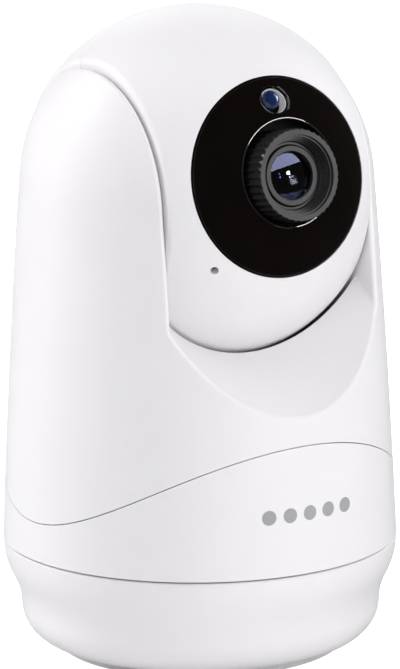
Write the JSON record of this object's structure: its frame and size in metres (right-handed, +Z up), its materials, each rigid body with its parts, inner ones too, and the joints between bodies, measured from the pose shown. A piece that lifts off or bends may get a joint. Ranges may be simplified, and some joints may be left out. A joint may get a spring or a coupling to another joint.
{
  "type": "baby monitor camera",
  "caption": "Table-top pan and tilt baby monitor camera: a round foot, a turning two-armed body and a ball head with a knurled lens in a black face.",
  "frame": {"origin": "centre of the foot on the surface it stands on", "axes": "+Z up along the pan axis, -Y is the front the lens faces at rest, the tilt axis lies along X"},
  "size_m": [0.0775, 0.078, 0.127],
  "materials": {
    "shell_white": "satin moulded ABS, very fine texture",
    "face_black": "high gloss, dark infrared-passing acrylic",
    "lens_black": "satin black",
    "lens_glass": "coated optical glass",
    "bezel_clear": "clear acrylic",
    "sensor_bulb": "clear tinted epoxy",
    "foot_rubber": "matt silicone rubber",
    "brass": "machined",
    "steel": "zinc plated",
    "gear_plastic": "natural acetal",
    "circuit_board": "green solder mask",
    "component_black": "moulded black",
    "cable_grey": "soft sleeve"
  },
  "bodies": {
    "foot": {"rubber_foot_ring": "foot_rubber", "base_plate": "shell_white", "base_shell": "shell_white", "tripod_insert": "brass", "base_screws": "steel", "pan_shaft": "gear_plastic", "pan_gear": "gear_plastic", "thrust_washer": "gear_plastic", "shaft_clip": "steel", "power_board": "circuit_board", "power_socket": "steel", "pan_cable": "cable_grey"},
    "turret": {"lower_skirt": "shell_white", "upper_shell": "shell_white", "turntable": "gear_plastic", "turret_screws": "steel", "pan_motor": "steel", "main_board": "circuit_board", "board_chips": "component_black", "cable_socket": "gear_plastic", "speaker": "component_black", "reset_switch": "component_black", "wifi_antenna": "circuit_board", "left_axle": "gear_plastic", "right_axle": "gear_plastic", "axle_nuts": "gear_plastic", "tilt_gear": "gear_plastic", "head_cable": "cable_grey"},
    "pan_drive": {"pan_pinion": "gear_plastic", "pan_motor_shaft": "steel"},
    "reset": {"reset_button": "shell_white"},
    "head": {"head_front_shell": "shell_white", "head_rear_shell": "shell_white", "face_panel": "face_black", "left_bush": "gear_plastic", "right_bush": "gear_plastic", "head_screws": "steel", "tilt_motor": "steel", "tilt_bracket": "steel", "tilt_screws": "steel", "camera_bracket": "gear_plastic", "sensor_board": "circuit_board", "image_sensor": "component_black", "lens_holder": "lens_black", "infrared_board": "component_black", "infrared_leds": "sensor_bulb", "sensor_bezel": "bezel_clear", "light_sensor": "sensor_bulb", "microphone": "component_black", "camera_lead": "cable_grey"},
    "tilt_drive": {"tilt_pinion": "gear_plastic", "tilt_motor_shaft": "steel"},
    "lens": {"focus_ring": "lens_black", "lens_barrel": "lens_black", "retaining_ring": "lens_black", "front_lens": "lens_glass", "rear_lens": "lens_glass"}
  },
  "joints": [
    {"name": "pan", "type": "hinge", "parent": "foot", "child": "turret", "pos_m": [0, 0, 0], "axis": [0, 0, 1], "range_deg": [-173, 173]},
    {"name": "pan_pinion_spin", "type": "hinge", "parent": "turret", "child": "pan_drive", "pos_m": [0, -0.0228, 0.0195], "axis": [0, 0, 1], "range_deg": [-650, 650]},
    {"name": "tilt", "type": "hinge", "parent": "turret", "child": "head", "pos_m": [0, 0, 0.092], "axis": [-1, 0, 0], "range_deg": [-34, 54]},
    {"name": "tilt_pinion_spin", "type": "hinge", "parent": "head", "child": "tilt_drive", "pos_m": [0.0167, 0.01232, 0.08938], "axis": [-1, 0, 0], "range_deg": [-86, 136]},
    {"name": "focus", "type": "hinge", "parent": "head", "child": "lens", "pos_m": [0, 0, 0.092], "axis": [0, -0.9781, 0.2079], "range_deg": [-180, 180]},
    {"name": "reset_press", "type": "slide", "parent": "turret", "child": "reset", "axis": [0, -1, 0], "range_m": [0, 0.0004], "stiffness_N_per_m": 400, "springref_m": -0.001}
  ],
  "couplings": [
    {"joint": "pan_pinion_spin", "follows": "pan", "ratio": 3.75},
    {"joint": "tilt_pinion_spin", "follows": "tilt", "ratio": 2.5}
  ]
}
